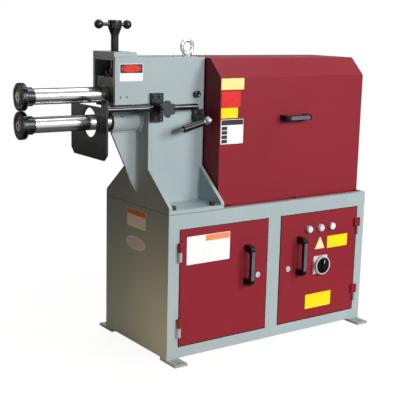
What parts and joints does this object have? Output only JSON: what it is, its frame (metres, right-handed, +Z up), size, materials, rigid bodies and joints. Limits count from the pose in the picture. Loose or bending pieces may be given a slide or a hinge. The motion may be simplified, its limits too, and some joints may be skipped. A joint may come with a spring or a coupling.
{
  "type": "bead roller",
  "caption": "Motor-driven sheet metal bead roller: two overhung shafts with toothed rolls on a welded head, hooded gear drive, floor cabinet with two doors.",
  "frame": {"origin": "floor level, at the centre of the four anchor holes in the feet", "axes": "+X along the machine from the rolls to the hood, +Y from the doors to the back, +Z up"},
  "size_m": [1.558, 0.606, 1.3318],
  "materials": {
    "frame_paint": "semi-gloss",
    "maroon_paint": "gloss",
    "motor_paint": "satin",
    "black_steel": "black oxide",
    "bright_steel": "turned and polished",
    "zinc_steel": "zinc plated",
    "cast_hub": "machined",
    "chrome_trim": "polished",
    "bronze": "machined",
    "black_plastic": "fine grain",
    "grey_plastic": "satin",
    "green_cap": "gloss",
    "red_cap": "gloss",
    "white_lens": "translucent"
  },
  "bodies": {
    "stand": {"cabinet_shell": "frame_paint", "foot_plates": "frame_paint", "hinge_pins": "zinc_steel", "cable_gland": "black_plastic", "mounting_panel": "zinc_steel", "control_gear": "grey_plastic", "head_base_plate": "frame_paint", "head_end_plate_left": "frame_paint", "head_end_plate_right": "frame_paint", "head_side_plates": "frame_paint", "head_top_plate": "frame_paint", "top_cap_plate": "frame_paint", "lower_bearing_housing": "frame_paint", "lower_bushes": "bronze", "cap_bolts": "black_steel", "lifting_eye": "chrome_trim", "grease_nipples": "bronze", "drive_pedestal": "frame_paint", "gear_reducer": "motor_paint", "motor_housing": "motor_paint", "fan_cowl": "motor_paint", "hood": "maroon_paint", "hood_handle": "black_plastic", "side_brackets": "black_steel", "small_screws": "black_steel"},
    "left_door": {"door_left": "maroon_paint", "door_handle_left": "black_plastic"},
    "right_door": {"door_right": "maroon_paint", "door_handle_right": "black_plastic", "button_bodies": "grey_plastic", "pilot_lamp": "white_lens", "switch_plate": "grey_plastic"},
    "left_latch": {"latch_left": "chrome_trim"},
    "right_latch": {"latch_right": "chrome_trim"},
    "start_push": {"start_button": "green_cap"},
    "stop_push": {"stop_button": "red_cap"},
    "isolator_knob": {"switch_knob": "black_plastic"},
    "upper_arm": {"upper_bearing_block": "black_steel", "upper_front_bush": "bronze", "tilting_bearing": "bright_steel"},
    "upper_spindle": {"upper_shaft": "bright_steel", "upper_roll": "black_steel", "upper_roll_screw": "bright_steel", "upper_gear": "bright_steel"},
    "axial_shifter": {"shift_ring": "bronze"},
    "lower_spindle": {"lower_shaft": "bright_steel", "lower_roll": "black_steel", "lower_roll_screw": "bright_steel", "lower_gear": "bright_steel", "coupling_hub": "cast_hub"},
    "output_spindle": {"output_hub": "cast_hub"},
    "rotor": {"motor_rotor": "bright_steel"},
    "screw_slide": {"screw_foot": "bright_steel"},
    "lift_screw": {"adjusting_screw": "black_steel"},
    "tommy": {"tommy_bar": "black_plastic"},
    "material_stop": {"guide_rod": "black_steel", "stop_plate": "black_steel"},
    "clamp_knob": {"star_knob": "black_plastic"},
    "axial_lever": {"adjusting_lever": "bright_steel", "lever_grip": "black_plastic"}
  },
  "joints": [
    {"name": "left_door_hinge", "type": "hinge", "parent": "stand", "child": "left_door", "pos_m": [-0.476, -0.252, 0.3], "axis": [0, 0, -1], "range_deg": [0, 110]},
    {"name": "right_door_hinge", "type": "hinge", "parent": "stand", "child": "right_door", "pos_m": [0.484, -0.252, 0.3], "axis": [0, 0, 1], "range_deg": [0, 110]},
    {"name": "left_latch_turn", "type": "hinge", "parent": "left_door", "child": "left_latch", "pos_m": [-0.081, -0.2445, 0.303], "axis": [0, -1, 0], "range_deg": [0, 90]},
    {"name": "right_latch_turn", "type": "hinge", "parent": "right_door", "child": "right_latch", "pos_m": [0.085, -0.2445, 0.303], "axis": [0, 1, 0], "range_deg": [0, 90]},
    {"name": "start_press", "type": "slide", "parent": "right_door", "child": "start_push", "axis": [0, 1, 0], "range_m": [0, 0.004], "stiffness_N_per_m": 400, "springref_m": -0.002},
    {"name": "stop_press", "type": "slide", "parent": "right_door", "child": "stop_push", "axis": [0, 1, 0], "range_m": [0, 0.004], "stiffness_N_per_m": 400, "springref_m": -0.002},
    {"name": "isolator_turn", "type": "hinge", "parent": "right_door", "child": "isolator_knob", "pos_m": [0.267, -0.2445, 0.299], "axis": [0, -1, 0], "range_deg": [0, 90]},
    {"name": "upper_arm_tilt", "type": "hinge", "parent": "stand", "child": "upper_arm", "pos_m": [-0.11, 0, 1.048], "axis": [0, 1, 0], "range_deg": [0, 1.99]},
    {"name": "upper_spindle_spin", "type": "hinge", "parent": "upper_arm", "child": "upper_spindle", "pos_m": [-0.11, 0, 1.048], "axis": [1, 0, 0], "continuous": true},
    {"name": "lower_axial_shift", "type": "slide", "parent": "stand", "child": "axial_shifter", "axis": [1, 0, 0], "range_m": [-0.004, 0.004]},
    {"name": "lower_spindle_spin", "type": "hinge", "parent": "axial_shifter", "child": "lower_spindle", "pos_m": [-0.525, 0, 0.943], "axis": [1, 0, 0], "continuous": true},
    {"name": "output_spindle_spin", "type": "hinge", "parent": "stand", "child": "output_spindle", "pos_m": [0.075, 0, 0.943], "axis": [1, 0, 0], "continuous": true},
    {"name": "rotor_spin", "type": "hinge", "parent": "stand", "child": "rotor", "pos_m": [0.275, 0, 0.943], "axis": [1, 0, 0], "continuous": true},
    {"name": "screw_feed", "type": "slide", "parent": "stand", "child": "screw_slide", "axis": [0, 0, 1], "range_m": [0, 0.018]},
    {"name": "lift_screw_turn", "type": "hinge", "parent": "screw_slide", "child": "lift_screw", "pos_m": [-0.628, 0, 1.2], "axis": [0, 0, 1], "range_deg": [0, 1080]},
    {"name": "tommy_bar_slide", "type": "slide", "parent": "lift_screw", "child": "tommy", "axis": [1, 0, 0], "range_m": [-0.01, 0.025]},
    {"name": "material_stop_slide", "type": "slide", "parent": "stand", "child": "material_stop", "axis": [1, 0, 0], "range_m": [-0.15, 0.045]},
    {"name": "clamp_knob_turn", "type": "hinge", "parent": "stand", "child": "clamp_knob", "pos_m": [-0.4925, -0.15, 1.0005], "axis": [0, -1, 0], "range_deg": [0, 180]},
    {"name": "axial_lever_turn", "type": "hinge", "parent": "stand", "child": "axial_lever", "pos_m": [-0.293, -0.162, 0.947], "axis": [0, 1, 0], "range_deg": [-28, 28]}
  ],
  "couplings": [
    {"joint": "upper_spindle_spin", "follows": "lower_spindle_spin", "ratio": -1},
    {"joint": "output_spindle_spin", "follows": "lower_spindle_spin", "ratio": 1},
    {"joint": "rotor_spin", "follows": "lower_spindle_spin", "ratio": 36},
    {"joint": "screw_feed", "follows": "lift_screw_turn", "m_per_rad": 0.00095493},
    {"joint": "upper_arm_tilt", "follows": "lift_screw_turn", "ratio": 0.0018435},
    {"joint": "lower_axial_shift", "follows": "axial_lever_turn", "m_per_rad": -0.008}
  ]
}
